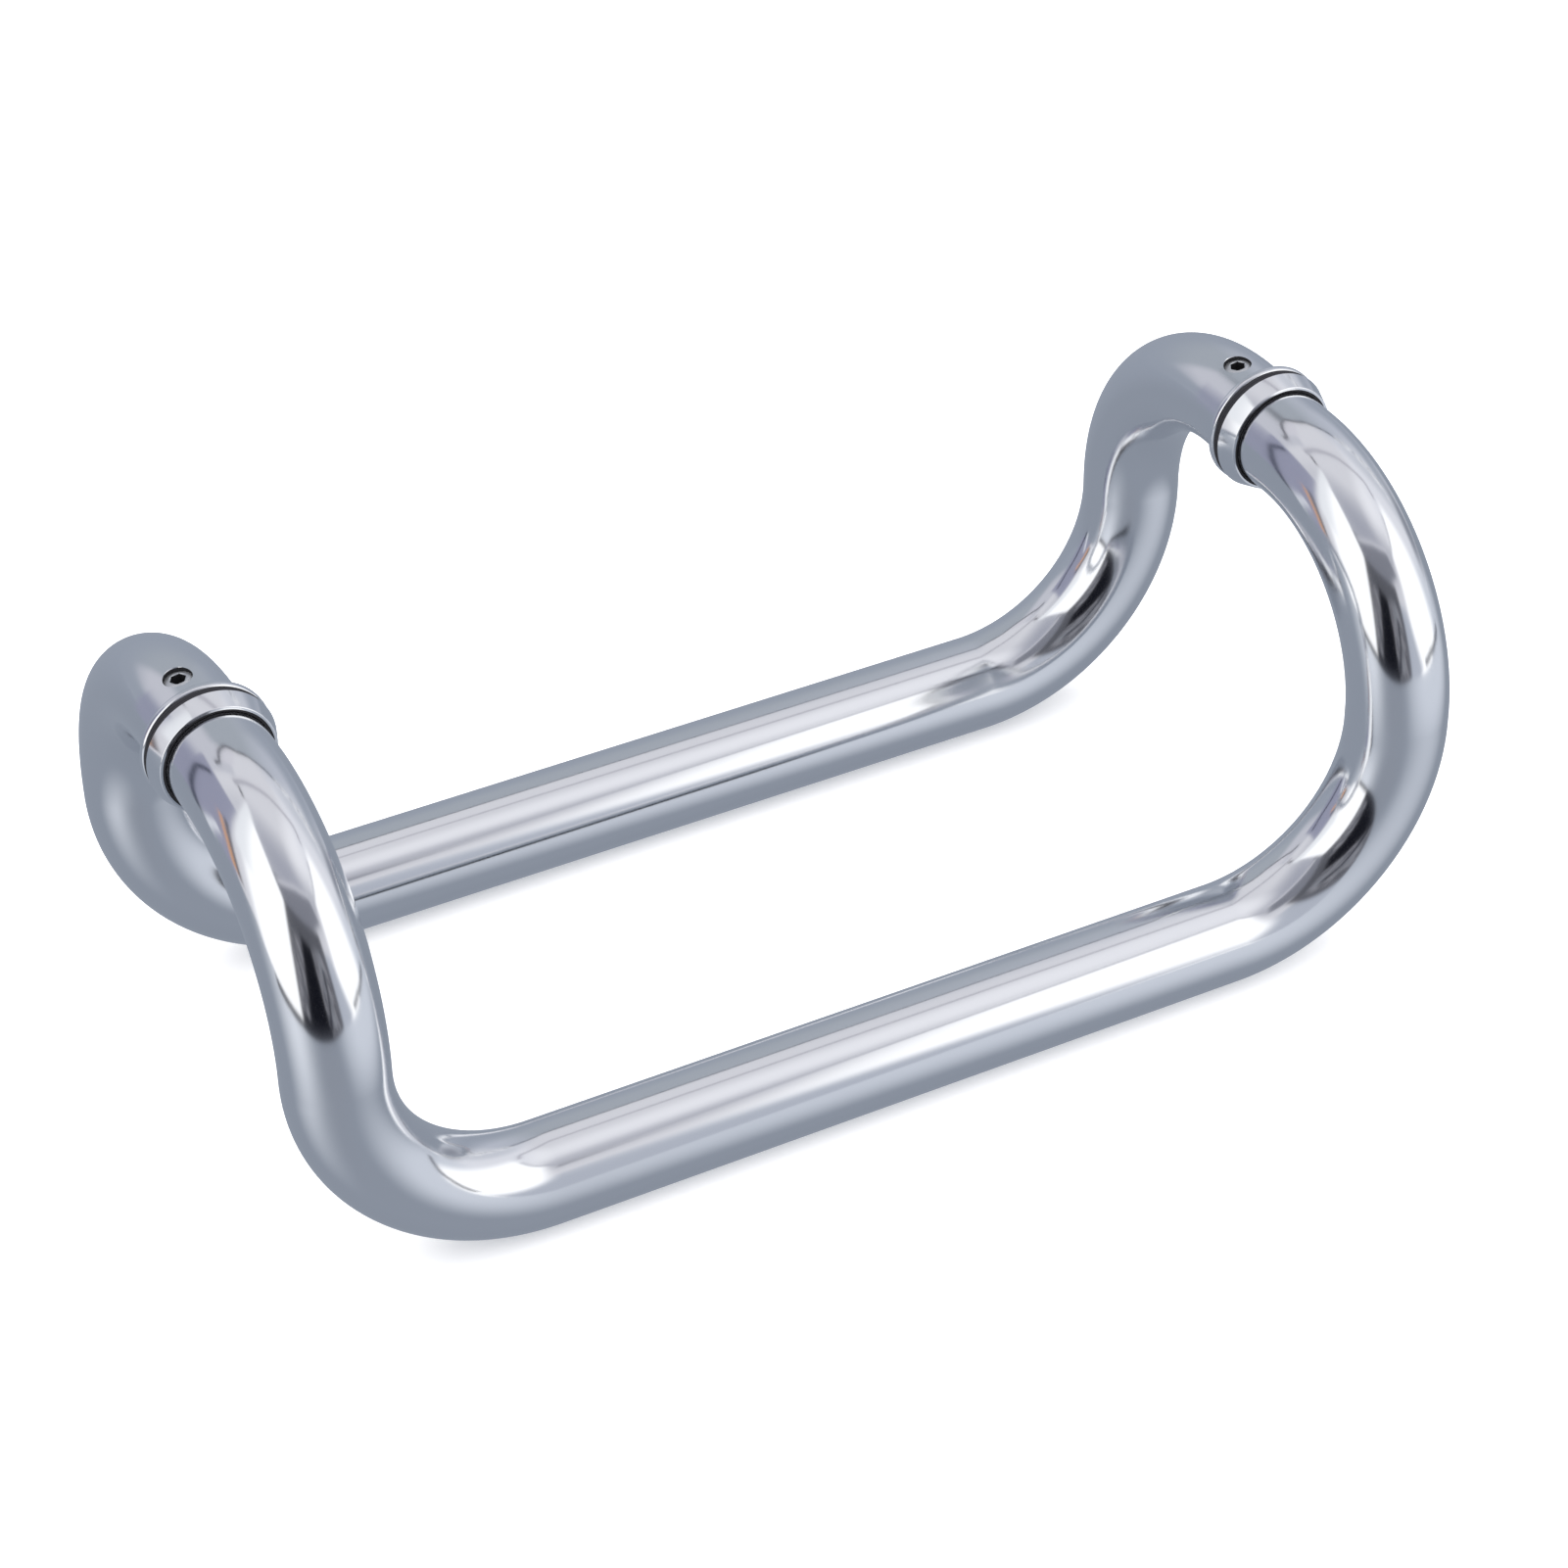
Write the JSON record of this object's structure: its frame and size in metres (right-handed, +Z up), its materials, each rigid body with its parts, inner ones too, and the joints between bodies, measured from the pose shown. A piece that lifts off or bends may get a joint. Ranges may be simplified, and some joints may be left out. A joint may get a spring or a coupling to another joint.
{
  "type": "shower door handle",
  "caption": "Back-to-back pull handle for a glass shower door: bent chrome tubes, offset downwards, joined through the glass by studs, collars, gaskets and set-screwed posts.",
  "frame": {"origin": "on the middle plane of the door glass, half way between the axes of the two fixings", "axes": "+X along the grips, +Y square through the glass to the rear handle, +Z up; the grips hang below the fixings"},
  "size_m": [0.2723, 0.13, 0.1106],
  "materials": {
    "polished_chrome": "mirror-polished chrome plate",
    "black_rubber": "smooth black rubber",
    "plated_steel": "turned, zinc-plated steel",
    "screw_steel": "plain stainless steel",
    "white_nylon": "natural nylon"
  },
  "bodies": {
    "root": {"front_handle_tube": "polished_chrome", "rear_handle_tube": "polished_chrome", "front_tube_plug_left": "plated_steel", "front_tube_plug_right": "plated_steel", "front_collar_left": "polished_chrome", "front_collar_right": "polished_chrome", "front_seal_left": "black_rubber", "front_seal_right": "black_rubber", "front_gasket_left": "black_rubber", "front_gasket_right": "black_rubber", "rear_gasket_left": "black_rubber", "rear_gasket_right": "black_rubber", "hole_sleeve_left": "white_nylon", "hole_sleeve_right": "white_nylon", "clamp_stud_left": "plated_steel", "clamp_stud_right": "plated_steel", "rear_post_left": "polished_chrome", "rear_post_right": "polished_chrome", "rear_tube_insert_left": "plated_steel", "rear_tube_insert_right": "plated_steel", "set_screw_left": "screw_steel", "set_screw_right": "screw_steel"}
  },
  "joints": []
}
